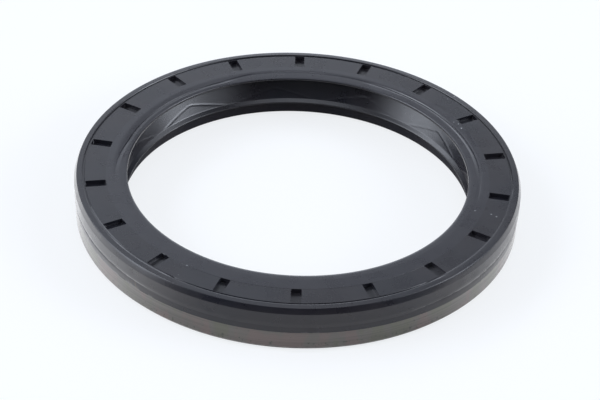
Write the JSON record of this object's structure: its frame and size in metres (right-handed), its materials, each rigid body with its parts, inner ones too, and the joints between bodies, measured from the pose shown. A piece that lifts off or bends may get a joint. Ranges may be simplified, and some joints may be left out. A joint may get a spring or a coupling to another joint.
{
  "type": "radial shaft seal",
  "caption": "Radial shaft seal: a rubber-faced steel ring with narrow slots round the face, two thin lips inside its wide bore and a bare metal band at its base.",
  "frame": {"origin": "on the shaft's axis, in the plane of the oil-side rim that the seal stands on", "axes": "+Z along the shaft's axis, towards the air-side face; +X to the right"},
  "size_m": [0.1406, 0.1406, 0.0158],
  "materials": {
    "rubber": "satin",
    "case_steel": "satin",
    "spring_steel": "satin"
  },
  "bodies": {
    "root": {"rubber_body": "rubber", "steel_case": "case_steel", "garter_spring": "spring_steel"}
  },
  "joints": []
}
